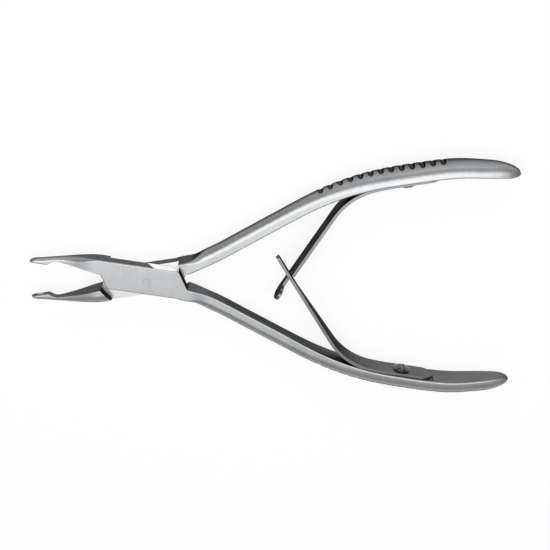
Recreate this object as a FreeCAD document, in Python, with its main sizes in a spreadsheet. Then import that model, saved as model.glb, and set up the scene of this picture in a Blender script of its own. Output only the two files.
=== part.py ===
"""Small bone cutter with a lapped box joint and two crossed leaf springs.

Two forged halves turn on one flush pin. Each half is a beaked jaw, a flat
lap plate and a handle. Both are modelled shut, with the line where the lips
meet along X, and are then turned apart by half the opening each.
The rear half is the front half turned over about X.

Frame: the pin is along Z, the jaws point to -X, and the origin is the centre
of the joint's lower face.
"""
import FreeCAD, Part
import math
import os

import Sketcher
from FreeCAD import Placement, Rotation, Vector

doc = FreeCAD.newDocument("bone_cutter")
sheet = doc.addObject("Spreadsheet::Sheet", "sizes")

SIZES = {
    # Opening
    "opening_angle": 17.8,
    # Joint; the plate reaches further to the jaw's back than to its belly
    "joint_thickness": 7.3,
    "plate_back": 4.9,
    "plate_belly": 3.9,
    "plate_jaw_reach": 13.9,
    "plate_handle_reach": 11.9,
    "plate_end_slant": 31.4,
    "edge_radius": 0.35,
    "shoulder_gap": 0.8,
    "lap_clearance": 0.06,
    "pin_diameter": 2.5,
    "pin_clearance": 0.04,
    # Jaw
    "jaw_length": 35.7,
    "jaw_tip_height": 0.8,
    "jaw_nose_length": 1.6,
    "jaw_tip_width": 2.6,
    "jaw_taper_start": 15.0,
    "jaw_taper_length": 13.0,
    "jaw_crown_length": 9.0,
    "lip_length": 5.2,
    "lip_heel_length": 2.0,
    "jaw_relief": 1.5,
    "jaw_relief_back": 0.4,
    "scoop_length": 3.9,
    "scoop_width": 2.0,
    "scoop_depth": 0.85,
    # Handle
    "handle_reach": 114.0,
    "neck_start": 4.5,
    "neck_bend_radius": 55.0,
    "neck_angle": 21.0,
    "grip_offset": 18.7,
    "grip_bend_radius": 80.0,
    "grip_flat_length": 10.5,
    "end_bend_radius": 60.0,
    "end_angle": 12.0,
    "root_start": 12.6,
    "root_length": 6.4,
    "root_bulge": 0.45,
    "neck_width": 5.3,
    "grip_width": 9.4,
    "grip_widening_start": 40.0,
    "grip_widening_length": 46.0,
    "neck_thickness": 4.7,
    "grip_thickness": 4.6,
    "grip_thinning_start": 40.0,
    "grip_thinning_length": 20.0,
    "end_round_length": 26.0,
    "end_drop_length": 9.0,
    "end_fall": 1.2,
    "end_fall_length": 4.0,
    # Grip grooves
    "groove_count": 13,
    "groove_pitch": 3.06,
    "groove_start": 55.2,
    "groove_radius": 0.95,
    "groove_depth": 0.7,
    # Leaf springs
    "leaf_thickness": 0.9,
    "leaf_width": 7.4,
    "leaf_seat_depth": 0.2,
    "leaf_seat_gap": 0.15,
    "leaf_tail": 9.7,
    "leaf_hug_length": 6.9,
    "leaf_bend_radius": 20.0,
    "tongue_run_angle": 50.8,
    "hook_run_angle": 48.0,
    "leaf_side_gap": 0.3,
    "tongue_reach": 9.6,
    "tongue_width": 2.3,
    "tongue_taper_length": 21.0,
    "hook_neck_lead": 2.4,
    "hook_neck_length": 5.7,
    "hook_head_length": 4.2,
    "hook_head_width": 6.8,
    # Spring screws
    "screw_seat_margin": 0.1,
    "screw_diameter": 2.4,
    "screw_depth": 2.6,
    "screw_tip_gap": 0.2,
    "screw_hole_clearance": 0.15,
    "screw_head_diameter": 5.2,
    "screw_head_height": 1.6,
    "screw_rim_height": 0.4,
    "slot_width": 0.8,
    "slot_depth": 0.7,
}
for row, (alias, value) in enumerate(SIZES.items(), start=1):
    sheet.set("A%d" % row, alias)
    sheet.set("B%d" % row, str(value))
    sheet.setAlias("B%d" % row, alias)
doc.recompute()


def size(alias):
    """The value of one cell of the sheet."""
    return float(getattr(sheet, alias))


def bind(feature, prop, expression):
    """Bind a property; words that are aliases of the sheet are looked up there."""
    for alias in sorted(SIZES, key=len, reverse=True):
        expression = expression.replace("<%s>" % alias, "sizes.%s" % alias)
    feature.setExpression(prop, expression)


def add_shape(name, shape):
    """A form made with Part's own functions."""
    feature = doc.addObject("Part::Feature", name)
    feature.Shape = shape
    return feature


def cut(name, base, *tools):
    """The base with every tool taken away."""
    feature = doc.addObject("Part::Cut", name)
    feature.Base = base
    if len(tools) == 1:
        feature.Tool = tools[0]
        return feature
    joined = doc.addObject("Part::MultiFuse", name + "_tools")
    joined.Shapes = list(tools)
    feature.Tool = joined
    return feature


def smooth(start, end, x):
    """0 before the start, 1 after the end, and an S curve between them."""
    share = min(max((x - start) / (end - start), 0.0), 1.0)
    return share * share * (3.0 - 2.0 * share)


HALF_OPENING = size("opening_angle") / 2
# How blunt the grip's end is in plan, and how the jaw's back falls to its tip.
END_ROUND_POWER = 2.5
JAW_BACK_POWER = 1.35
# How full the arch of a crown may get, and how much of that the jaw's back has.
FULLEST_CROWN = 0.94
JAW_ROUNDNESS = 0.8
# Small edges stay below these shares of the section's height and half width.
EDGE_OF_HEIGHT = 0.25
EDGE_OF_HALF = 0.4
# How far the jaw and the joint run into each other, and the knuckle's ramp.
JAW_ROOT_INSIDE = 2.0
JOINT_OVERLAP = 1.0
KNUCKLE_RUN = 3.0
# The jaw and the handle lie this little inside the plate's faces, to join it cleanly.
JOIN_INSET = 0.02
# How far a cutter reaches past what it cuts.
CLEAR = 1.0
# Where the relief behind the lip has come to most of its depth.
HEEL_SHARE = 0.9
# The scoop's middle lies this much behind the middle of the lip.
SCOOP_SETBACK = 0.25
# The tongue is at its full narrowness this far before the leaves cross.
NARROW_LEAD = 2.2
# A point on the screw's dome, as shares of its radius and of its rise.
DOME_OUT = 0.55
DOME_UP = 0.78
# Where the lofts have their sections: close together where the form changes fast.
HANDLE_STATIONS = (
    8.5, 10.5, 12.5, 14.0, 16.0, 18.0, 20.5, 24.0, 29.0, 36.0, 43.0, 50.0, 57.0, 65.0, 73.0, 80.0)
STATION_GAP = 3.0
END_STATION_ANGLES = (0, 22, 38, 50, 60, 68, 75, 81, 85)
JAW_STATION_SHARES = (
    0.0, 0.06, 0.13, 0.22, 0.32, 0.43, 0.54, 0.65, 0.76, 0.86, 0.93, 0.965, 0.985, 0.996)
HALF_JOINT = size("joint_thickness") / 2
SLANT = math.tan(math.radians(size("plate_end_slant")))


class HandleLine:
    """The inner face of a handle seen along the pin, from the joint outwards.

    It bends away from the lip line into a straight neck, bends back into a flat
    that carries the leaf spring, and bends once more towards the end.
    """

    def __init__(self):
        self.neck = math.radians(size("neck_angle"))
        self.end = math.radians(size("end_angle"))
        self.first = size("neck_bend_radius")
        self.bend = size("grip_bend_radius")
        self.last = size("end_bend_radius")
        self.flat_y = -size("grip_offset")
        self.neck_start = size("neck_start") + self.first * math.sin(self.neck)
        self.neck_y = -self.rise(self.first, self.neck_start - size("neck_start"))
        grip_top = self.flat_y + self.bend * (1.0 - math.cos(self.neck))
        self.neck_end = self.neck_start + (self.neck_y - grip_top) / math.tan(self.neck)
        self.flat_start = self.neck_end + self.bend * math.sin(self.neck)
        self.flat_end = self.flat_start + size("grip_flat_length")
        self.end_start = self.flat_end + self.last * math.sin(self.end)

    def y(self, x):
        if x <= self.neck_start:
            return -self.rise(self.first, max(0.0, x - size("neck_start")))
        if x <= self.neck_end:
            return self.neck_y - (x - self.neck_start) * math.tan(self.neck)
        if x < self.flat_start:
            return self.flat_y + self.rise(self.bend, self.flat_start - x)
        if x <= self.flat_end:
            return self.flat_y
        if x < self.end_start:
            return self.flat_y + self.rise(self.last, x - self.flat_end)
        top = self.flat_y + self.rise(self.last, self.end_start - self.flat_end)
        return top + (x - self.end_start) * math.tan(self.end)

    @staticmethod
    def rise(radius, run):
        return radius - math.sqrt(radius * radius - run * run)


handle_line = HandleLine()
# The leaf lies in a shallow seat, and its screw stands where the seat is flat.
SEAT_FLOOR = handle_line.flat_y - size("leaf_seat_depth")
SCREW_X = handle_line.flat_start + size("screw_head_diameter") / 2 + size("screw_seat_margin")
LEAF_END_X = SCREW_X + size("leaf_tail")


def end_round(x, length, power=2.0):
    """1 along the handle, falling to 0 at its end like a quarter oval."""
    into = max(0.0, (x - (size("handle_reach") - length)) / length)
    return max(0.0, 1.0 - into ** power) ** (1.0 / power)


def root_share(x):
    """1 inside the joint, falling to 0 where the neck begins."""
    start = size("root_start")
    return 1.0 - smooth(start, start + size("root_length"), x)


def handle_width(x):
    """Depth of the handle along Z: thick at the joint, slim neck, wide grip."""
    neck = size("neck_width")
    start = size("grip_widening_start")
    grip = (size("grip_width") - neck) * smooth(start, start + size("grip_widening_length"), x)
    root = size("joint_thickness") - 2 * JOIN_INSET
    full = neck + grip + (root - neck) * root_share(x)
    return full * end_round(x, size("end_round_length"), END_ROUND_POWER)


def handle_face(x):
    """Height of the inner face, which falls away a little at the very end."""
    fall = size("end_fall") * (1.0 - end_round(x, size("end_fall_length")))
    return handle_line.y(x) - fall


def handle_crown(x):
    """Height of the handle's outer side, with a slight knuckle at the joint."""
    neck = size("neck_thickness")
    start = size("grip_thinning_start")
    thinner = (neck - size("grip_thickness")) * smooth(start, start + size("grip_thinning_length"), x)
    first = HANDLE_STATIONS[0]
    knuckle = size("root_bulge") * smooth(first, first + KNUCKLE_RUN, x)
    root = neck - (size("plate_belly") - 4 * JOIN_INSET + knuckle + handle_line.y(x))
    full = neck - thinner - root * root_share(x)
    fall = size("end_fall")
    return handle_line.y(x) - fall - (full - fall) * end_round(x, size("end_drop_length"))


def bar_section(x, face_y, crown_y, width, near, far):
    """A section across X: a flat inner face, two sides and a rounded crown.

    near and far say how round the crown is towards +Z and -Z: 0 leaves it as
    square as the joint, and 1 makes it a full arch.
    """
    half = width / 2
    side = math.copysign(1.0, crown_y - face_y)
    height = abs(crown_y - face_y)
    slack = 1.0 - math.sqrt(0.5)
    edge = min(size("edge_radius"), height * EDGE_OF_HEIGHT, half * EDGE_OF_HALF)
    fullest = min(half, height - edge) * FULLEST_CROWN
    near_radius = max(edge, edge + (fullest - edge) * near)
    far_radius = max(edge, edge + (fullest - edge) * far)

    def at(z, depth):
        return Vector(x, face_y + side * depth, z)

    def corner(sign, deep, radius):
        """The arc at one corner, from the flat towards the side or back."""
        level = height if deep else 0.0
        inward = -radius if deep else radius
        flat_end = at(sign * (half - radius), level)
        middle = at(sign * (half - radius * slack), level + inward * slack)
        side_end = at(sign * half, level + inward)
        return flat_end, middle, side_end

    near_base = corner(1, False, edge)
    near_crown = corner(1, True, near_radius)
    far_crown = corner(-1, True, far_radius)
    far_base = corner(-1, False, edge)
    curves = [
        Part.LineSegment(far_base[0], near_base[0]),
        Part.Arc(near_base[0], near_base[1], near_base[2]),
        Part.LineSegment(near_base[2], near_crown[2]),
        Part.Arc(near_crown[2], near_crown[1], near_crown[0]),
        Part.LineSegment(near_crown[0], far_crown[0]),
        Part.Arc(far_crown[0], far_crown[1], far_crown[2]),
        Part.LineSegment(far_crown[2], far_base[2]),
        Part.Arc(far_base[2], far_base[1], far_base[0]),
    ]
    return Part.Wire([curve.toShape() for curve in curves])


def handle_form():
    """The forged handle, from inside the joint to its rounded end."""
    reach = size("handle_reach")
    rounded = reach - size("end_round_length")
    stations = [x for x in HANDLE_STATIONS if x < rounded - STATION_GAP]
    for angle in END_STATION_ANGLES:
        stations.append(rounded + (reach - rounded) * math.sin(math.radians(angle)))
    sections = []
    for x in stations:
        round_share = 1.0 - root_share(x)
        width = handle_width(x)
        sections.append(bar_section(
            x, handle_face(x), handle_crown(x), width, round_share, round_share))
    return Part.makeLoft(sections, True)


def jaw_outer(x):
    """Height of the jaw's back above the lip line; x is negative."""
    start = size("plate_jaw_reach") + JOINT_OVERLAP
    tip = size("jaw_tip_height")
    share = max(0.0, (-x - start) / (size("jaw_length") - start))
    return tip + (size("plate_back") - JOIN_INSET - tip) * (1.0 - share ** JAW_BACK_POWER)


def jaw_nose(x):
    """1 along the jaw, falling to 0 at its tip like a quarter circle."""
    nose = size("jaw_nose_length")
    into = max(0.0, (-x - (size("jaw_length") - nose)) / nose)
    return math.sqrt(max(0.0, 1.0 - into ** 2))


def jaw_width(x):
    start = size("jaw_taper_start")
    tip = size("jaw_tip_width")
    root = size("joint_thickness") - 2 * JOIN_INSET
    return root + (tip - root) * smooth(start, start + size("jaw_taper_length"), -x)


def jaw_form():
    """The forged beak, solid down to the line where the lips meet.

    Its back is round on the side of the shoulder from the joint on, and grows
    round on the side of the plate.
    """
    tip = size("jaw_length")
    start = size("plate_jaw_reach") - JAW_ROOT_INSIDE
    taper = size("plate_jaw_reach") + JOINT_OVERLAP
    sections = []
    for share in JAW_STATION_SHARES:
        x = -(start + (tip - start) * share)
        near = JAW_ROUNDNESS * smooth(taper, taper + size("jaw_crown_length"), -x)
        nose = jaw_nose(x)
        height = jaw_outer(x) * nose
        sections.append(bar_section(x, 0.0, height, jaw_width(x) * nose, near, JAW_ROUNDNESS))
    return Part.makeLoft(sections, True)


def plate_end_x(reach, y, lean):
    """X of a plate end or shoulder at height y; lean is -1 or 1."""
    return reach + lean * SLANT * y


def prism(points, bottom, top):
    """A closed outline in XY pulled from z = bottom to z = top."""
    corners = [Vector(x, y, bottom) for x, y in points]
    corners.append(corners[0])
    face = Part.Face(Part.makePolygon(corners))
    return face.extrude(Vector(0, 0, top - bottom))


def joint_form():
    """The plate of a half, with its outer edges rounded.

    The jaw and the handle bring the full thickness, up to the shoulders.
    """
    back = size("plate_back")
    belly = size("plate_belly")
    jaw = -size("plate_jaw_reach")
    handle = size("plate_handle_reach")
    root = size("root_start")
    outline = [
        (jaw - JOINT_OVERLAP, back),
        (jaw - JOINT_OVERLAP, JOIN_INSET),
        (plate_end_x(jaw, JOIN_INSET, -1), JOIN_INSET),
        (plate_end_x(jaw, -belly, -1), -belly),
        (root, -belly),
        (root, handle_line.y(root) - size("edge_radius")),
        (handle, 0.0),
        (plate_end_x(handle, back, -1), back),
    ]
    plate = prism(outline, 0.0, HALF_JOINT)
    rims = [edge for edge in plate.Edges if edge.BoundBox.ZMin > HALF_JOINT - 1e-6]
    return plate.makeFillet(size("edge_radius"), rims)


def lap_cutter():
    """What is milled off the back of a half, so that the other plate lies there."""
    jaw = -size("plate_jaw_reach") - size("shoulder_gap")
    handle = size("plate_handle_reach") + size("shoulder_gap")
    tall = size("plate_back") + size("plate_belly")
    outline = [
        (plate_end_x(jaw, tall, 1), tall),
        (plate_end_x(jaw, -tall, 1), -tall),
        (plate_end_x(handle, -tall, 1), -tall),
        (plate_end_x(handle, tall, 1), tall),
    ]
    return prism(outline, -HALF_JOINT - CLEAR, size("lap_clearance") / 2)


def relief_cutter():
    """The gap behind the lip: a short heel, then a shallow hollow back to the plate."""
    heel = -(size("jaw_length") - size("lip_length"))
    back = -size("plate_jaw_reach")
    relief = size("jaw_relief")
    low = -size("plate_back")
    depth = HALF_JOINT + CLEAR
    run = size("lip_heel_length")
    end_y = size("jaw_relief_back")
    end = Vector(plate_end_x(back, end_y, -1), end_y, -depth)
    middle_x = (heel + 2 * run + end.x) / 2
    hollow = Part.BSplineCurve()
    hollow.interpolate(Points=[
        Vector(heel, 0.0, -depth),
        Vector(heel + run / 2, relief / 2, -depth),
        Vector(heel + run, relief * HEEL_SHARE, -depth),
        Vector(heel + 2 * run, relief, -depth),
        Vector(middle_x, end_y + (relief - end_y) * HEEL_SHARE ** 4, -depth),
        end,
    ])
    outer = [Vector(plate_end_x(back, low, -1), low, -depth), Vector(heel, low, -depth)]
    edges = [
        hollow.toShape(),
        Part.LineSegment(end, outer[0]).toShape(),
        Part.LineSegment(outer[0], outer[1]).toShape(),
        Part.LineSegment(outer[1], Vector(heel, 0.0, -depth)).toShape(),
    ]
    return Part.Face(Part.Wire(edges)).extrude(Vector(0, 0, 2 * depth))


def make_scoop(name):
    """The hollow of the bite, dished into the lip."""
    scoop = doc.addObject("Part::Ellipsoid", name)
    bind(scoop, "Radius1", "<scoop_width> / 2")
    bind(scoop, "Radius2", "<scoop_length> / 2")
    bind(scoop, "Radius3", "<scoop_depth>")
    scoop.Angle1 = -90
    scoop.Angle2 = 90
    bind(scoop, "Placement.Base.x", "-(<jaw_length> - <lip_length> / 2 - %g)" % SCOOP_SETBACK)
    return scoop


def make_bore(name, diameter):
    """A round hole for the pin, right through the joint."""
    bore = doc.addObject("Part::Cylinder", name)
    bind(bore, "Radius", diameter + " / 2")
    bind(bore, "Height", "<joint_thickness> + 2")
    bind(bore, "Placement.Base.z", "-<joint_thickness> / 2 - 1")
    return bore


def make_screw_hole(name):
    """The tapped hole in the inner face of a handle."""
    hole = doc.addObject("Part::Cylinder", name)
    bind(hole, "Radius", "<screw_diameter> / 2")
    bind(hole, "Height", "<screw_depth> + <screw_tip_gap> + 1")
    hole.Placement = Placement(Vector(SCREW_X, SEAT_FLOOR + 1, 0), Rotation(Vector(1, 0, 0), 90))
    return hole


def leaf_seat_cutter():
    """The shallow seat milled into the handle's inner face for the leaf."""
    past_bend = 3.0
    headroom = 2.0
    centre = Vector(handle_line.flat_start, handle_line.flat_y + handle_line.bend, 0)
    floor = handle_line.bend + size("leaf_seat_depth")
    roof = floor - headroom
    sweep = math.asin((size("leaf_hug_length") + past_bend) / handle_line.bend)
    end = LEAF_END_X + size("leaf_seat_gap")

    def at(radius, angle):
        return centre - Vector(math.sin(angle), math.cos(angle), 0) * radius

    corners = [Vector(end, SEAT_FLOOR, 0), Vector(end, SEAT_FLOOR + headroom, 0)]
    edges = [
        Part.LineSegment(corners[0], at(floor, 0)).toShape(),
        Part.Arc(at(floor, 0), at(floor, sweep / 2), at(floor, sweep)).toShape(),
        Part.LineSegment(at(floor, sweep), at(roof, sweep)).toShape(),
        Part.Arc(at(roof, sweep), at(roof, sweep / 2), at(roof, 0)).toShape(),
        Part.LineSegment(at(roof, 0), corners[1]).toShape(),
        Part.LineSegment(corners[1], corners[0]).toShape(),
    ]
    half = size("leaf_width") / 2 + size("leaf_seat_gap")
    face = Part.Face(Part.Wire(edges))
    face.translate(Vector(0, 0, -half))
    return face.extrude(Vector(0, 0, 2 * half))


def make_grooves(name):
    """Round grooves across the crown of the grip, which follow its curve."""
    cutters = []
    for index in range(int(size("groove_count"))):
        x = size("groove_start") + index * size("groove_pitch")
        crown = handle_crown(x)
        groove = doc.addObject("Part::Cylinder", "%s_%d" % (name, index + 1))
        bind(groove, "Radius", "<groove_radius>")
        bind(groove, "Height", "<grip_width> + 2")
        bind(groove, "Placement.Base.z", "-<grip_width> / 2 - 1")
        centre_y = crown - size("groove_radius") + size("groove_depth")
        groove.Placement.Base = Vector(x, centre_y, 0)
        cutters.append(groove)
    joined = doc.addObject("Part::MultiFuse", name)
    joined.Shapes = cutters
    return joined


def make_half_form(name):
    """One forged and machined half, shut, with its lap plate on the +Z side."""
    blank = joint_form().fuse([jaw_form(), handle_form()]).removeSplitter()
    return cut(
        name,
        add_shape("forged_blank", blank),
        add_shape("lap_recess", lap_cutter()),
        add_shape("jaw_relief", relief_cutter()),
        add_shape("leaf_seat", leaf_seat_cutter()),
        make_scoop("lip_scoop"),
        make_screw_hole("screw_tapping"),
        make_grooves("grip_groove"),
    )


class LeafPath:
    """The middle line of a leaf spring, from its rear end to its tip.

    It lies on the handle's inner face, leaves it in a tight bend and runs
    straight to the crossing on the tool's middle line.
    """

    def __init__(self, run_angle, past_crossing):
        half = size("leaf_thickness") / 2
        seat = SEAT_FLOOR + half
        hug = handle_line.bend + size("leaf_seat_depth") - half
        hug_centre = Vector(handle_line.flat_start, seat + hug, 0)
        lift = math.asin(size("leaf_hug_length") / handle_line.bend)
        run = math.radians(run_angle)
        bend = size("leaf_bend_radius")
        bend_centre = hug_centre - self.normal(lift) * (hug - bend)
        self.seat = (Vector(LEAF_END_X, seat, 0), Vector(hug_centre.x, seat, 0))
        self.arcs = ((hug_centre, hug, 0.0, lift), (bend_centre, bend, lift, run))
        self.run = run
        self.run_start = bend_centre - self.normal(run) * bend
        self.direction = Vector(-math.cos(run), math.sin(run), 0)
        opened = Rotation(Vector(0, 0, 1), -HALF_OPENING)
        start = opened.multVec(self.run_start)
        heading = opened.multVec(self.direction)
        self.to_crossing = -start.y / heading.y
        self.tip = self.at(self.to_crossing + past_crossing)

    @staticmethod
    def normal(slope):
        """The side of the line that faces the other handle."""
        return Vector(math.sin(slope), math.cos(slope), 0)

    def at(self, distance):
        """A point of the straight run, so far from its start."""
        return self.run_start + self.direction * distance

    def side(self, offset):
        """The line's edges, moved so far towards the other handle."""
        shift = Vector(0, offset, 0)
        edges = [Part.LineSegment(self.seat[0] + shift, self.seat[1] + shift)]
        for centre, radius, start, end in self.arcs:
            at = [centre - self.normal(angle) * (radius - offset)
                  for angle in (start, (start + end) / 2, end)]
            edges.append(Part.Arc(*at))
        across = self.normal(self.run) * offset
        edges.append(Part.LineSegment(self.run_start + across, self.tip + across))
        return edges

    def strip(self):
        """The leaf at its full width, before its plan is cut."""
        half = size("leaf_thickness") / 2
        outer = self.side(-half)
        inner = self.side(half)
        rear = Part.LineSegment(inner[0].StartPoint, outer[0].StartPoint)
        front = Part.LineSegment(outer[-1].EndPoint, inner[-1].EndPoint)
        edges = [curve.toShape() for curve in [rear] + outer + [front] + inner[::-1]]
        face = Part.Face(Part.Wire(Part.__sortEdges__(edges)))
        width = size("leaf_width")
        face.translate(Vector(0, 0, -width / 2))
        return face.extrude(Vector(0, 0, width))

    def plan_prism(self, wire_points):
        """A cutter seen square to the straight run.

        Each point is (distance along the run, z).
        """
        across = self.normal(self.run)
        corners = []
        for distance, z in wire_points:
            corners.append(self.at(distance) - across * CLEAR + Vector(0, 0, z))
        corners.append(corners[0])
        return Part.Face(Part.makePolygon(corners)).extrude(across * 2 * CLEAR)

    def plan_disc(self, distance, z, radius):
        """A round cutter seen square to the straight run."""
        across = self.normal(self.run)
        base = self.at(distance) - across * CLEAR + Vector(0, 0, z)
        return Part.makeCylinder(radius, 2 * CLEAR, base, across)

    def plan_oval(self, distance, along, wide):
        """An oval cutter on the leaf's middle, longer across than along."""
        across = self.normal(self.run)
        centre = self.at(distance) - across * CLEAR
        oval = Part.Ellipse(centre + Vector(0, 0, wide), centre + self.direction * along, centre)
        return Part.Face(Part.Wire(oval.toShape())).extrude(across * 2 * CLEAR)


def leaf_rear_end():
    """The corners that come off the leaf's rear end to leave it round."""
    half = size("leaf_width") / 2
    tall = size("leaf_thickness") + 2 * CLEAR
    base = Vector(LEAF_END_X - half, SEAT_FLOOR - CLEAR, 0)
    outside = half + CLEAR
    corner = Part.makeBox(outside, tall, 2 * outside, base - Vector(0, 0, outside))
    disc = Part.makeCylinder(half, tall, base, Vector(0, 1, 0))
    return corner.cut(disc)


def make_leaf_hole(name):
    """The hole that the leaf's screw passes through."""
    hole = doc.addObject("Part::Cylinder", name)
    bind(hole, "Radius", "<screw_diameter> / 2 + <screw_hole_clearance>")
    bind(hole, "Height", "<leaf_thickness> + 4")
    top = SEAT_FLOOR + size("leaf_thickness") + 2
    hole.Placement = Placement(Vector(SCREW_X, top, 0), Rotation(Vector(1, 0, 0), 90))
    return hole


def make_tongue_leaf(name):
    """The leaf whose back edge tapers to a narrow tongue."""
    path = LeafPath(size("tongue_run_angle"), size("tongue_reach"))
    half = size("leaf_width") / 2
    inner = half - size("tongue_width")
    round_end = (half - inner) / 2
    tip = path.to_crossing + size("tongue_reach")
    narrow = path.to_crossing - NARROW_LEAD
    start = narrow - size("tongue_taper_length")
    taper = path.plan_prism([
        (start, -half - CLEAR), (start, -half), (narrow, inner),
        (tip + CLEAR, inner), (tip + CLEAR, -half - CLEAR),
    ])
    nose = path.plan_prism([
        (tip - round_end, inner - CLEAR), (tip + CLEAR, inner - CLEAR),
        (tip + CLEAR, half + CLEAR), (tip - round_end, half + CLEAR),
    ])
    nose = nose.cut(path.plan_disc(tip - round_end, inner + round_end, round_end))
    strip = add_shape(name + "_strip", path.strip())
    return cut(
        name, strip,
        add_shape(name + "_taper", taper),
        add_shape(name + "_nose", nose),
        add_shape(name + "_rear", leaf_rear_end()),
        make_leaf_hole(name + "_hole"),
    )


def make_hooked_leaf(name):
    """The leaf with a narrow neck and an oval head that hooks the tongue."""
    head = size("hook_head_length")
    neck_start = -size("hook_neck_lead")
    neck_end = neck_start + size("hook_neck_length")
    path = LeafPath(size("hook_run_angle"), neck_end + head)
    half = size("leaf_width") / 2
    inner = size("leaf_side_gap") / 2
    start = path.to_crossing + neck_start
    middle = path.to_crossing + neck_end + head / 2
    past = middle + head / 2 + CLEAR
    notch = path.plan_prism([
        (start, -half - CLEAR), (start, inner), (middle, inner), (middle, -half - CLEAR),
    ])
    cap = path.plan_prism([
        (middle, -half - CLEAR), (middle, half + CLEAR),
        (past, half + CLEAR), (past, -half - CLEAR),
    ])
    oval = path.plan_oval(middle, head / 2, size("hook_head_width") / 2)
    strip = add_shape(name + "_strip", path.strip())
    return cut(
        name, strip,
        add_shape(name + "_notch", notch.cut(oval)),
        add_shape(name + "_cap", cap.cut(oval)),
        add_shape(name + "_rear", leaf_rear_end()),
        make_leaf_hole(name + "_hole"),
    )


def make_pin(name):
    """The flush pin, tight in the front half and free in the rear one."""
    pin = doc.addObject("Part::Cylinder", name)
    bind(pin, "Radius", "<pin_diameter> / 2")
    bind(pin, "Height", "<joint_thickness>")
    return pin


def make_screw(name):
    """A slotted screw with a low domed head, standing on z = 0, point down."""
    body = doc.addObject("PartDesign::Body", name)
    plane = [f for f in body.Origin.OriginFeatures if f.Role == "XZ_Plane"][0]
    sketch = body.newObject("Sketcher::SketchObject", name + "_profile")
    sketch.AttachmentSupport = [(plane, "")]
    sketch.MapMode = "FlatFace"
    shank = size("screw_diameter") / 2
    head = size("screw_head_diameter") / 2
    depth = size("screw_depth") + size("leaf_thickness")
    rim = size("screw_rim_height")
    top = size("screw_head_height")
    corners = [
        Vector(0, -depth, 0), Vector(shank, -depth, 0), Vector(shank, 0, 0),
        Vector(head, 0, 0), Vector(head, rim, 0), Vector(0, top, 0),
    ]
    for start, end in zip(corners[:4], corners[1:5]):
        sketch.addGeometry(Part.LineSegment(start, end))
    # The dome is an arc whose middle is above the chord.
    middle = Vector(head * DOME_OUT, rim + (top - rim) * DOME_UP, 0)
    sketch.addGeometry(Part.Arc(corners[4], middle, corners[5]))
    sketch.addGeometry(Part.LineSegment(corners[5], corners[0]))
    for index in range(3):
        sketch.addConstraint(Sketcher.Constraint("Coincident", index, 2, index + 1, 1))
    dome_ends = (1, 2)
    arc = sketch.Geometry[4]
    if arc.StartPoint.x < arc.EndPoint.x:
        dome_ends = (2, 1)
    sketch.addConstraint(Sketcher.Constraint("Coincident", 3, 2, 4, dome_ends[0]))
    sketch.addConstraint(Sketcher.Constraint("Coincident", 4, dome_ends[1], 5, 1))
    sketch.addConstraint(Sketcher.Constraint("Coincident", 5, 2, 0, 1))
    places = [
        (0, 1, "X", "0"), (0, 1, "Y", "-(<screw_depth> + <leaf_thickness>)"),
        (1, 1, "X", "<screw_diameter> / 2"), (1, 1, "Y", "-(<screw_depth> + <leaf_thickness>)"),
        (2, 1, "X", "<screw_diameter> / 2"), (2, 1, "Y", "0"),
        (3, 1, "X", "<screw_head_diameter> / 2"), (3, 1, "Y", "0"),
        (3, 2, "X", "<screw_head_diameter> / 2"), (3, 2, "Y", "<screw_rim_height>"),
        (5, 1, "X", "0"), (5, 1, "Y", "<screw_head_height>"),
    ]
    for edge, end, axis, expression in places:
        value = getattr(sketch.getPoint(edge, end), axis.lower())
        number = sketch.addConstraint(
            Sketcher.Constraint("Distance" + axis, -1, 1, edge, end, value))
        if expression != "0":
            bind(sketch, "Constraints[%d]" % number, expression)
    turned = body.newObject("PartDesign::Revolution", name + "_turned")
    turned.Profile = sketch
    turned.ReferenceAxis = (sketch, ["V_Axis"])
    turned.Angle = 360
    doc.recompute()
    slot_sketch = body.newObject("Sketcher::SketchObject", name + "_slot_plan")
    ground = [f for f in body.Origin.OriginFeatures if f.Role == "XY_Plane"][0]
    slot_sketch.AttachmentSupport = [(ground, "")]
    slot_sketch.MapMode = "FlatFace"
    bind(slot_sketch, "AttachmentOffset.Base.z", "<screw_head_height> - <slot_depth>")
    half_slot = size("slot_width") / 2
    slot_corners = [Vector(-half_slot, -head - 1, 0), Vector(half_slot, -head - 1, 0),
                    Vector(half_slot, head + 1, 0), Vector(-half_slot, head + 1, 0)]
    for index in range(4):
        slot_sketch.addGeometry(Part.LineSegment(slot_corners[index], slot_corners[(index + 1) % 4]))
    for index in range(4):
        slot_sketch.addConstraint(Sketcher.Constraint("Coincident", index, 2, (index + 1) % 4, 1))
    signs = ((-1, -1), (1, -1), (1, 1), (-1, 1))
    for index, (sx, sy) in enumerate(signs):
        number = slot_sketch.addConstraint(Sketcher.Constraint(
            "DistanceX", -1, 1, index, 1, slot_corners[index].x))
        bind(slot_sketch, "Constraints[%d]" % number, "%d * <slot_width> / 2" % sx)
        number = slot_sketch.addConstraint(Sketcher.Constraint(
            "DistanceY", -1, 1, index, 1, slot_corners[index].y))
        bind(slot_sketch, "Constraints[%d]" % number, "%d * (<screw_head_diameter> / 2 + 1)" % sy)
    doc.recompute()
    slot = body.newObject("PartDesign::Pocket", name + "_slot")
    slot.Profile = slot_sketch
    slot.Type = "Length"
    bind(slot, "Length", "<screw_head_height>")
    slot.Reversed = True
    doc.recompute()
    return body


def front_place():
    """A front piece: turned open about the pin and lifted onto the frame."""
    return Placement(Vector(0, 0, HALF_JOINT), Rotation(Vector(0, 0, 1), -HALF_OPENING))


def rear_place():
    """A rear piece: turned over about X as well, and opened the other way."""
    over = Placement(Vector(), Rotation(Vector(1, 0, 0), 180))
    opened = Placement(Vector(0, 0, HALF_JOINT), Rotation(Vector(0, 0, 1), HALF_OPENING))
    return opened.multiply(over)


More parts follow.
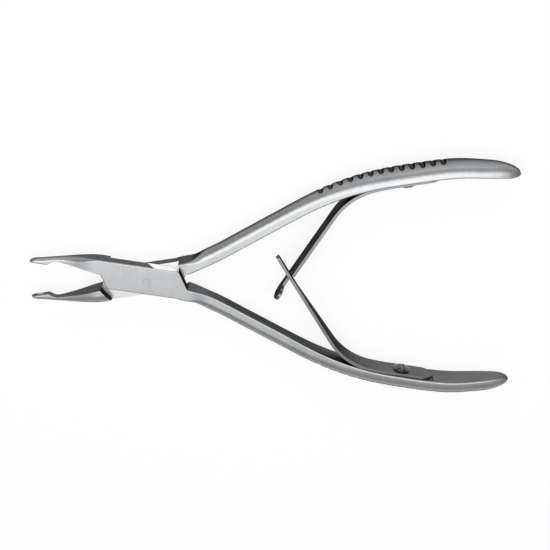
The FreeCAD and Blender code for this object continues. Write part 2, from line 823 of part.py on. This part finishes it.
def screw_place():
    """Where a screw stands on its leaf, in a half that is still shut."""
    top = SEAT_FLOOR + size("leaf_thickness")
    return Placement(Vector(SCREW_X, top, 0), Rotation(Vector(1, 0, 0), -90))


lower_spring_screw = make_screw("lower_spring_screw")
upper_spring_screw = make_screw("upper_spring_screw")
pivot_pin = make_pin("pivot_pin")
lower_leaf_spring = make_tongue_leaf("lower_leaf_spring")
upper_leaf_spring = make_hooked_leaf("upper_leaf_spring")
half_form = make_half_form("half_form")
tight_bore = make_bore("tight_bore", "<pin_diameter>")
running_bore = make_bore("running_bore", "(<pin_diameter> + 2 * <pin_clearance>)")
front_half = cut("front_half", half_form, tight_bore)
rear_half = cut("rear_half", half_form, running_bore)

places = (
    (front_half, front_place()),
    (lower_leaf_spring, front_place()),
    (lower_spring_screw, front_place().multiply(screw_place())),
    (pivot_pin, Placement()),
    (rear_half, rear_place()),
    (upper_leaf_spring, rear_place()),
    (upper_spring_screw, rear_place().multiply(screw_place())),
)
for piece, place in places:
    piece.Placement = place
    piece.Label = piece.Name
doc.recompute()

for item in doc.Objects:
    if "Invalid" in item.State or "Error" in item.State:
        raise RuntimeError("%s did not build: %s" % (item.Name, item.State))
os.makedirs("parts", exist_ok=True)
for piece, place in places:
    shape = piece.Shape
    if shape.isNull() or not shape.isValid():
        raise RuntimeError("%s has no valid shape" % piece.Label)
    shape.exportStep("parts/%s.step" % piece.Label)
    box = shape.BoundBox
    print("%-20s %2d solid(s) %8.2f mm3  x %7.2f %7.2f  y %7.2f %7.2f  z %6.2f %6.2f" % (
        piece.Label, len(shape.Solids), shape.Volume,
        box.XMin, box.XMax, box.YMin, box.YMax, box.ZMin, box.ZMax))
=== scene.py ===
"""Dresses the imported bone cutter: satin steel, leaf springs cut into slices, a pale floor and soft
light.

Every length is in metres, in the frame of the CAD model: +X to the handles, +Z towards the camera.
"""

import math

import bmesh
import bpy
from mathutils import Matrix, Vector


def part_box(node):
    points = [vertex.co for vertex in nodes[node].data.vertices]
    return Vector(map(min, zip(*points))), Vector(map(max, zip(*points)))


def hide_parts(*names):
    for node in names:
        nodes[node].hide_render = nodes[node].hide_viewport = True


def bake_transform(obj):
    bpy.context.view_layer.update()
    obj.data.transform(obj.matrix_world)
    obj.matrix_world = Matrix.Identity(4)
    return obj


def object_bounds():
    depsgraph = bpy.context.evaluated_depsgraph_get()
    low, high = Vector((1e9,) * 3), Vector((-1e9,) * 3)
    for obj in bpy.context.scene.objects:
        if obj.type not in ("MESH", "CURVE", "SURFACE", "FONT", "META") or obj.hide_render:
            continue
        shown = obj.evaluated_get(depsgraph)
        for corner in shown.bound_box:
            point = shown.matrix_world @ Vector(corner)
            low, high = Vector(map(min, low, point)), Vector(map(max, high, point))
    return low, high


MM = 0.001

# Camera: the photograph looks down on the flat of the cutter, from a little beyond the upper handle.
CAMERA_TILT = math.radians(22.0)
CAMERA_DISTANCE = 450 * MM
CAMERA_AIM = Vector((38.25, 1.04, 3.65)) * MM
PICTURE_WIDTH = 165.3 * MM
SENSOR_WIDTH = 36.0
NEAREST_SEEN = 0.01
FARTHEST_SEEN = 20.0

# Lights: a studio that is brightest overhead, a near softbox that favours the upper handle, and a
# weaker one behind it. Each softbox has a name, a place, an aim, a size and a power in watts.
STUDIO_FLOOR_LEVEL = 0.34
STUDIO_TOP_LEVEL = 0.36
STUDIO_SPREAD = 5.5
SOFTBOXES = (
    ("overhead", (0.04, 0.02, 0.28), (0.04, 0.02, 0.0), (0.50, 0.24), 0.41),
    ("behind", (0.04, 0.85, 0.30), (0.04, 0.0, 0.0), (1.0, 0.45), 0.75),
)

# The floor is pale paper, lifted to near white where it is seen, and it keeps the soft shadow.
FLOOR_COLOUR = (0.30, 0.30, 0.30, 1.0)
FLOOR_LIFT = 0.80
FLOOR_SIZE = 4.0
FLOOR_GAP = 0.02 * MM

# Steels: the narrow sides are painted darker than the broad fronts and backs, a painted shade, and
# faces that lie across the tool are dimmed by a painted shade too.
SATIN_FRONT = (0.64, 0.65, 0.66, 1.0)
SATIN_SIDE_PAINTED_SHADE = (0.25, 0.252, 0.256, 1.0)
SATIN_ROUGHNESS = 0.34
SATIN_ACROSS_PAINTED_SHADE = 0.5
SPRING_FRONT = (0.34, 0.34, 0.35, 1.0)
SPRING_SIDE_PAINTED_SHADE = (0.25, 0.25, 0.255, 1.0)
SPRING_ROUGHNESS = 0.32
PIN_TONE = (0.69, 0.70, 0.71, 1.0)
PIN_ROUGHNESS = 0.34
PIN_TOP = (0.0, 0.0, 7.3 * MM)
SCREW_TONE = (0.13, 0.13, 0.135, 1.0)
SCREW_ROUGHNESS = 0.24
WHITE = (1.0, 1.0, 1.0, 1.0)
BLACK = (0.0, 0.0, 0.0, 1.0)

# How a face lies, told from its normal. The upright share runs from a side, painted darker as shade,
# to a front, and above RIM_LEAN the reflections at glancing angles come back; below it they are
# painted dark, a painted dark reflection. The lengthwise share tells which faces lie across the tool,
# which get a painted shade.
SIDE_LEAN = 0.34
FRONT_LEAN = 0.88
RIM_LEAN = 0.80
ACROSS_LEAN = (0.38, 0.60)

# Noise patterns, in cells a metre, and the range in which nearly all of the noise lies.
FINE_GRAIN = 5200.0
BELT_STREAKS = 900.0
BELT_STRETCH = (1.0, 0.05, 1.0)
CLOUDS = 140.0
TURNED_CLOUDS = 900.0
NOISE_RANGE = (0.3, 0.7)

# Finish: how strong the marks are, how deep the grain is, and how round the edges look.
STREAKS = 0.05
GRAIN_DEPTH = 0.012 * MM
GRAIN_STRENGTH = 0.35
BELT_IN_GRAIN = 0.3
CLOUD_GLOSS = 0.03
FINE_GLOSS = 0.04
EDGE_RADIUS = 0.18 * MM
EDGE_TURN = (0.995, 0.80)
EDGE_WEAR = 0.06
EDGE_SAMPLES = 4

# Turned faces: the rings of the lathe on the pin and on the screws.
RING_PITCH = 0.16 * MM
RING_DEPTH = 0.004 * MM
RING_STRENGTH = 0.2
TURNED_EDGE_RADIUS = 0.12 * MM
TURNED_DARK_SHARE = 0.8
TURNED_GLOSS = 0.05

# Crevices get a painted shade: how far a neighbouring face still darkens, and how dark the deepest
# corner is painted.
CREVICE_REACH = 1.6 * MM
CREVICE_PAINTED_SHADE = 0.35
CREVICE_OPEN = (0.55, 0.98)
CREVICE_SAMPLES = 6

# The lapped faces inside the joint and the side walls of the plates above them. They stand out white
# in the photograph, so they get a painted reflection: their tone is much lighter than the steel's.
# The light part of a wall starts on the pin's line, and its border leans outward as steeply as
# LAP_SLOPE says. From other sides than the photograph's these painted walls show as white patches on
# the side of the joint.
LAP_PAINTED_REFLECTION = (0.97, 0.97, 0.97, 1.0)
LAP_HEIGHT = 3.65 * MM
LAP_DEPTH = 0.1 * MM
LAP_REACH = 15.0 * MM
LAP_SLOPE = 1.5
LAP_WALL_LEAN = 0.8
LAP_WALL_START = 1.0 * MM
LAP_OPEN = 0.97

# Leaf springs: the length of the slices they are cut into, and the gap below which loose corners are
# joined.
LEAF_SLICE = 1.0 * MM
LEAF_WELD = 0.001 * MM


class Nodes:
    """A node tree under construction: add() makes a node, link() joins two sockets."""

    def __init__(self, tree):
        self.tree = tree
        self.tree.nodes.clear()

    def add(self, kind, **settings):
        node = self.tree.nodes.new(kind)
        for key, value in settings.items():
            setattr(node, key, value)
        return node

    def link(self, source, target):
        self.tree.links.new(source, target)

    def math(self, operation, *values, clamp=False):
        """A Math node whose inputs are sockets or plain numbers."""
        node = self.add("ShaderNodeMath", operation=operation, use_clamp=clamp)
        for place, value in enumerate(values):
            if isinstance(value, (int, float)):
                node.inputs[place].default_value = value
            else:
                self.link(value, node.inputs[place])
        return node.outputs["Value"]

    def product(self, first, *others):
        """All the values multiplied."""
        for other in others:
            first = self.math("MULTIPLY", first, other)
        return first

    def total(self, first, *others):
        """All the values added."""
        for other in others:
            first = self.math("ADD", first, other)
        return first

    def spread(self, value, low, high, new_low, new_high, smooth=False):
        """Maps a value from one range to another, and stops at the ends."""
        node = self.add("ShaderNodeMapRange", clamp=True)
        if smooth:
            node.interpolation_type = "SMOOTHSTEP"
        self.link(value, node.inputs["Value"])
        node.inputs["From Min"].default_value = low
        node.inputs["From Max"].default_value = high
        node.inputs["To Min"].default_value = new_low
        node.inputs["To Max"].default_value = new_high
        return node.outputs["Result"]

    def swing(self, noise, middle, reach):
        """A noise value turned into one that swings about a middle."""
        return self.spread(noise, *NOISE_RANGE, middle - reach, middle + reach)

    def noise(self, coordinates, scale, detail, stretch=(1.0, 1.0, 1.0)):
        """Noise on the part's own coordinates, stretched to follow a grain."""
        placing = self.add("ShaderNodeMapping")
        placing.inputs["Scale"].default_value = stretch
        self.link(coordinates, placing.inputs["Vector"])
        node = self.add("ShaderNodeTexNoise")
        node.inputs["Scale"].default_value = scale
        node.inputs["Detail"].default_value = detail
        self.link(placing.outputs["Vector"], node.inputs["Vector"])
        return node.outputs["Fac"]

    def tone(self, value, dark, light):
        """A colour between two colours, each a socket or a plain colour."""
        node = self.add("ShaderNodeMix", data_type="RGBA")
        self.link(value, node.inputs["Factor"])
        for place, colour in (("A", dark), ("B", light)):
            if isinstance(colour, tuple):
                node.inputs[place].default_value = colour
            else:
                self.link(colour, node.inputs[place])
        return node.outputs["Result"]

    def parts_of(self, vector):
        """The X, Y and Z of a vector."""
        node = self.add("ShaderNodeSeparateXYZ")
        self.link(vector, node.inputs["Vector"])
        return node.outputs["X"], node.outputs["Y"], node.outputs["Z"]


class Shader(Nodes):
    """A material under construction."""

    def __init__(self, name):
        self.material = bpy.data.materials.new(name)
        self.material.use_nodes = True
        super().__init__(self.material.node_tree)
        self.output = self.add("ShaderNodeOutputMaterial")

    def own_coordinates(self):
        """The part's own coordinates, in metres."""
        return self.add("ShaderNodeTexCoord").outputs["Object"]

    def rounded_normal(self, radius):
        """The normal of the surface with its sharp edges rounded."""
        node = self.add("ShaderNodeBevel", samples=EDGE_SAMPLES)
        node.inputs["Radius"].default_value = radius
        return node.outputs["Normal"]

    def relief(self, height, strength, depth, normal):
        """A fine relief laid on a normal."""
        node = self.add("ShaderNodeBump")
        node.inputs["Strength"].default_value = strength
        node.inputs["Distance"].default_value = depth
        self.link(height, node.inputs["Height"])
        self.link(normal, node.inputs["Normal"])
        return node.outputs["Normal"]

    def metal(self, colour, roughness, normal, painted_dark_rim=None):
        """Ends the material as bare metal. rim tints what it reflects at a glancing angle, and where
        it is black it paints a dark reflection.
        """
        surface = self.add("ShaderNodeBsdfPrincipled")
        surface.inputs["Metallic"].default_value = 1.0
        self.link(colour, surface.inputs["Base Color"])
        self.link(roughness, surface.inputs["Roughness"])
        self.link(normal, surface.inputs["Normal"])
        if painted_dark_rim is not None:
            self.link(painted_dark_rim, surface.inputs["Specular Tint"])
        self.link(surface.outputs["BSDF"], self.output.inputs["Surface"])
        return self.material


def lapped(shader, where, sideways_y, flatness, lap_side):
    """1 on the lapped faces inside the joint and on the plates' walls above them, which get a painted
    reflection, else 0.

    lap_side is 1 for the half that lies on top, and -1 for the one turned over.
    """
    x, y, z = shader.parts_of(where)
    at_lap = shader.product(shader.math("COMPARE", z, LAP_HEIGHT, LAP_DEPTH), flatness)
    end = shader.product(shader.math("SIGN", x), lap_side)
    outward = shader.math("GREATER_THAN", shader.product(end, sideways_y), LAP_WALL_LEAN)
    offside = shader.math("GREATER_THAN", shader.product(end, y), LAP_WALL_START)
    height = shader.math("ABSOLUTE", shader.math("SUBTRACT", z, LAP_HEIGHT))
    along = shader.math("ABSOLUTE", x)
    low_enough = shader.math("LESS_THAN", height, shader.product(along, LAP_SLOPE))
    on_wall = shader.product(outward, offside, low_enough)
    inside = shader.math("LESS_THAN", along, LAP_REACH)
    return shader.product(shader.math("MAXIMUM", at_lap, on_wall), inside)


def steel(name, front, side, roughness, across=1.0, lap_side=0):
    """Satin stainless steel.

    A fine even grain, faint streaks from the belt, handling wear on the edges, painted shade in the
    crevices and cloudy changes of gloss all lie on the part's own coordinates. across paints shade on
    the faces that lie across the tool, such as the walls of the grip grooves and the shoulders. The
    sides are painted darker than the fronts, a painted shade, and a black tint paints their
    reflections dark at glancing angles, as in the photograph. A half of the tool has a lap_side,
    which paints the lapped faces inside its joint lighter than the rest, a painted reflection.
    """
    shader = Shader(name)
    where = shader.own_coordinates()
    facing = shader.add("ShaderNodeNewGeometry")
    own = shader.add("ShaderNodeVectorTransform", vector_type="NORMAL", convert_from="WORLD",
                     convert_to="OBJECT")
    shader.link(facing.outputs["True Normal"], own.inputs["Vector"])
    lean_x, lean_y, lean_z = shader.parts_of(own.outputs["Vector"])
    upright = shader.math("ABSOLUTE", lean_z)
    flatness = shader.spread(upright, SIDE_LEAN, FRONT_LEAN, 0.0, 1.0, smooth=True)
    glancing_share = shader.spread(upright, RIM_LEAN, 1.0, 0.0, 1.0)
    # Painted shade: the sides get a darker colour than the fronts.
    base = shader.tone(flatness, side, front)

    fine = shader.noise(where, FINE_GRAIN, detail=2.0)
    belt = shader.noise(where, BELT_STREAKS, detail=4.0, stretch=BELT_STRETCH)
    cloud = shader.noise(where, CLOUDS, detail=3.0)

    # Painted shade in crevices and corners, from ambient occlusion.
    hidden = shader.add("ShaderNodeAmbientOcclusion", samples=CREVICE_SAMPLES, only_local=True)
    hidden.inputs["Distance"].default_value = CREVICE_REACH
    painted_crevice_shade = shader.spread(hidden.outputs["AO"], *CREVICE_OPEN, CREVICE_PAINTED_SHADE, 1.0)

    # Painted reflection: the lapped faces and walls are painted near white, lose the painted crevice
    # shade and keep their glancing reflections.
    if lap_side:
        lap_painted_reflection_mask = lapped(shader, where, lean_y, flatness, lap_side)
        base = shader.tone(lap_painted_reflection_mask, base, LAP_PAINTED_REFLECTION)
        painted_crevice_shade = shader.math("MAXIMUM", painted_crevice_shade, shader.product(lap_painted_reflection_mask, LAP_OPEN))
        glancing_share = shader.math("MAXIMUM", glancing_share, lap_painted_reflection_mask)

    rounded = shader.rounded_normal(EDGE_RADIUS)
    likeness = shader.add("ShaderNodeVectorMath", operation="DOT_PRODUCT")
    shader.link(rounded, likeness.inputs[0])
    shader.link(facing.outputs["Normal"], likeness.inputs[1])
    edge = shader.spread(likeness.outputs["Value"], *EDGE_TURN, 0.0, 1.0)

    marks = shader.total(shader.swing(fine, 0.0, STREAKS), shader.swing(belt, 0.0, STREAKS / 2),
                         shader.swing(cloud, 0.0, STREAKS), 1.0, shader.product(edge, EDGE_WEAR))
    # Painted shade: faces that lie across the tool are dimmed.
    sideways = shader.spread(shader.math("ABSOLUTE", lean_x), *ACROSS_LEAN, 1.0, across)
    shade = shader.add("ShaderNodeVectorMath", operation="SCALE")
    shader.link(base, shade.inputs[0])
    shader.link(shader.product(marks, painted_crevice_shade, sideways), shade.inputs["Scale"])

    gloss = shader.total(shader.swing(cloud, 0.0, CLOUD_GLOSS), shader.swing(fine, 0.0, FINE_GLOSS))
    rough = shader.math("ADD", gloss, roughness, clamp=True)
    grain = shader.total(fine, shader.product(belt, BELT_IN_GRAIN))
    normal = shader.relief(grain, GRAIN_STRENGTH, GRAIN_DEPTH, rounded)
    # Painted dark reflection: a black tint darkens what the sides reflect at glancing angles.
    painted_dark_rim = shader.tone(glancing_share, BLACK, WHITE)
    return shader.metal(shade.outputs["Vector"], rough, normal, painted_dark_rim)


def turned_steel(name, middle, tone, roughness):
    """Steel faced on a lathe, with fine rings about its middle."""
    shader = Shader(name)
    where = shader.own_coordinates()
    offset = shader.add("ShaderNodeVectorMath", operation="DISTANCE")
    shader.link(where, offset.inputs[0])
    offset.inputs[1].default_value = middle
    rings = shader.math("SINE", shader.product(offset.outputs["Value"], 2 * math.pi / RING_PITCH))
    rounded = shader.rounded_normal(TURNED_EDGE_RADIUS)
    normal = shader.relief(rings, RING_STRENGTH, RING_DEPTH, rounded)

    cloud = shader.noise(where, TURNED_CLOUDS, detail=3.0)
    dark = tuple(TURNED_DARK_SHARE * part for part in tone[:3]) + (1.0,)
    colour = shader.tone(shader.swing(cloud, 0.5, 0.5), dark, tone)
    return shader.metal(colour, shader.swing(cloud, roughness, TURNED_GLOSS), normal)


def dress(thing, material):
    """Gives an object one material."""
    thing.data.materials.clear()
    thing.data.materials.append(material)


def bending_leaf(node, name):
    """A copy of a leaf spring, cut into short slices along its length, in place of the original,
    which is hidden.
    """
    leaf = bpy.data.objects.new(name, node.data.copy())
    bpy.context.scene.collection.objects.link(leaf)
    mesh = bmesh.new()
    mesh.from_mesh(leaf.data)
    bmesh.ops.remove_doubles(mesh, verts=mesh.verts, dist=LEAF_WELD)
    low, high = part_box(node.name)
    cut = low.x + LEAF_SLICE
    while cut < high.x:
        everything = mesh.verts[:] + mesh.edges[:] + mesh.faces[:]
        bmesh.ops.bisect_plane(mesh, geom=everything, plane_co=(cut, 0.0, 0.0),
                               plane_no=(1.0, 0.0, 0.0))
        cut += LEAF_SLICE
    mesh.to_mesh(leaf.data)
    mesh.free()
    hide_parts(node.name)
    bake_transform(leaf)
    return leaf


def make_camera():
    """The photograph's view: its tilt, its distance and its frame."""
    data = bpy.data.cameras.new("camera")
    data.sensor_width = SENSOR_WIDTH
    data.lens = SENSOR_WIDTH * CAMERA_DISTANCE / PICTURE_WIDTH
    data.clip_start = NEAREST_SEEN
    data.clip_end = FARTHEST_SEEN
    camera = bpy.data.objects.new("camera", data)
    back = Vector((0.0, math.sin(CAMERA_TILT), math.cos(CAMERA_TILT)))
    camera.location = CAMERA_AIM + back * CAMERA_DISTANCE
    camera.rotation_euler = (-CAMERA_TILT, 0.0, 0.0)
    bpy.context.scene.collection.objects.link(camera)
    bpy.context.scene.camera = camera


def make_studio():
    """A world that is light overhead and dimmer towards the horizon, and the softboxes."""
    world = bpy.data.worlds.new("studio")
    bpy.context.scene.world = world
    world.use_nodes = True
    nodes_of_world = Nodes(world.node_tree)
    towards = nodes_of_world.add("ShaderNodeTexCoord").outputs["Generated"]
    upwards = nodes_of_world.math("MAXIMUM", nodes_of_world.parts_of(towards)[2], 0.0)
    fade = nodes_of_world.math("POWER", upwards, STUDIO_SPREAD)
    level = nodes_of_world.math("MULTIPLY_ADD", fade, STUDIO_TOP_LEVEL, STUDIO_FLOOR_LEVEL)
    light = nodes_of_world.add("ShaderNodeBackground")
    out = nodes_of_world.add("ShaderNodeOutputWorld")
    nodes_of_world.link(level, light.inputs["Strength"])
    nodes_of_world.link(light.outputs["Background"], out.inputs["Surface"])

    for name, place, aim, size, power in SOFTBOXES:
        data = bpy.data.lights.new(name, "AREA")
        data.shape = "RECTANGLE"
        data.size, data.size_y = size
        data.energy = power
        lamp = bpy.data.objects.new(name, data)
        lamp.location = place
        lamp.rotation_euler = (Vector(aim) - Vector(place)).to_track_quat("-Z", "Y").to_euler()
        bpy.context.scene.collection.objects.link(lamp)


def make_floor(height):
    """A plain pale floor under the cutter, which keeps its shadow."""
    mesh = bpy.data.meshes.new("floor")
    half = FLOOR_SIZE / 2
    corners = [(-half, -half, 0), (half, -half, 0), (half, half, 0), (-half, half, 0)]
    mesh.from_pydata(corners, [], [(0, 1, 2, 3)])
    floor = bpy.data.objects.new("floor", mesh)
    floor.location = (0.0, 0.0, height)
    bpy.context.scene.collection.objects.link(floor)

    shader = Shader("floor_paper")
    paper = shader.add("ShaderNodeBsdfDiffuse")
    paper.inputs["Color"].default_value = FLOOR_COLOUR
    ray = shader.add("ShaderNodeLightPath")
    seen = shader.math("ADD", ray.outputs["Is Camera Ray"], ray.outputs["Is Glossy Ray"])
    seen = shader.math("ADD", seen, ray.outputs["Is Transmission Ray"], clamp=True)
    lift = shader.add("ShaderNodeEmission")
    shader.link(shader.product(seen, FLOOR_LIFT), lift.inputs["Strength"])
    both = shader.add("ShaderNodeAddShader")
    shader.link(paper.outputs["BSDF"], both.inputs[0])
    shader.link(lift.outputs["Emission"], both.inputs[1])
    shader.link(both.outputs["Shader"], shader.output.inputs["Surface"])
    dress(floor, shader.material)


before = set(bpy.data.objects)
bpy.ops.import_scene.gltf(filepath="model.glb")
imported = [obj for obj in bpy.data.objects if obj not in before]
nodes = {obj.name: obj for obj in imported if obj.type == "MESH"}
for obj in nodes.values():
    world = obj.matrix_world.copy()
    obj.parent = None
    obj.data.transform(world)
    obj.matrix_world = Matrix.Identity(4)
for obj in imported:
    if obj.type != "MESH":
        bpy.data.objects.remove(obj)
cad_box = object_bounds()

for name, lap_side in (("front_half", 1), ("rear_half", -1)):
    dress(nodes[name], steel("satin_" + name, SATIN_FRONT, SATIN_SIDE_PAINTED_SHADE, SATIN_ROUGHNESS,
                             SATIN_ACROSS_PAINTED_SHADE, lap_side))
dress(nodes["pivot_pin"], turned_steel("pin_steel", PIN_TOP, PIN_TONE, PIN_ROUGHNESS))
for name in ("lower_spring_screw", "upper_spring_screw"):
    low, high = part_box(name)
    dress(nodes[name], turned_steel(name + "_steel", (low + high) / 2, SCREW_TONE, SCREW_ROUGHNESS))

spring = steel("spring_steel", SPRING_FRONT, SPRING_SIDE_PAINTED_SHADE, SPRING_ROUGHNESS)
lower_leaf = bending_leaf(nodes["lower_leaf_spring"], "lower_leaf_bending")
upper_leaf = bending_leaf(nodes["upper_leaf_spring"], "upper_leaf_bending")
for leaf in (lower_leaf, upper_leaf):
    dress(leaf, spring)

make_camera()
make_studio()
make_floor(cad_box[0][2] - FLOOR_GAP)

bpy.context.scene.view_settings.view_transform = "Standard"
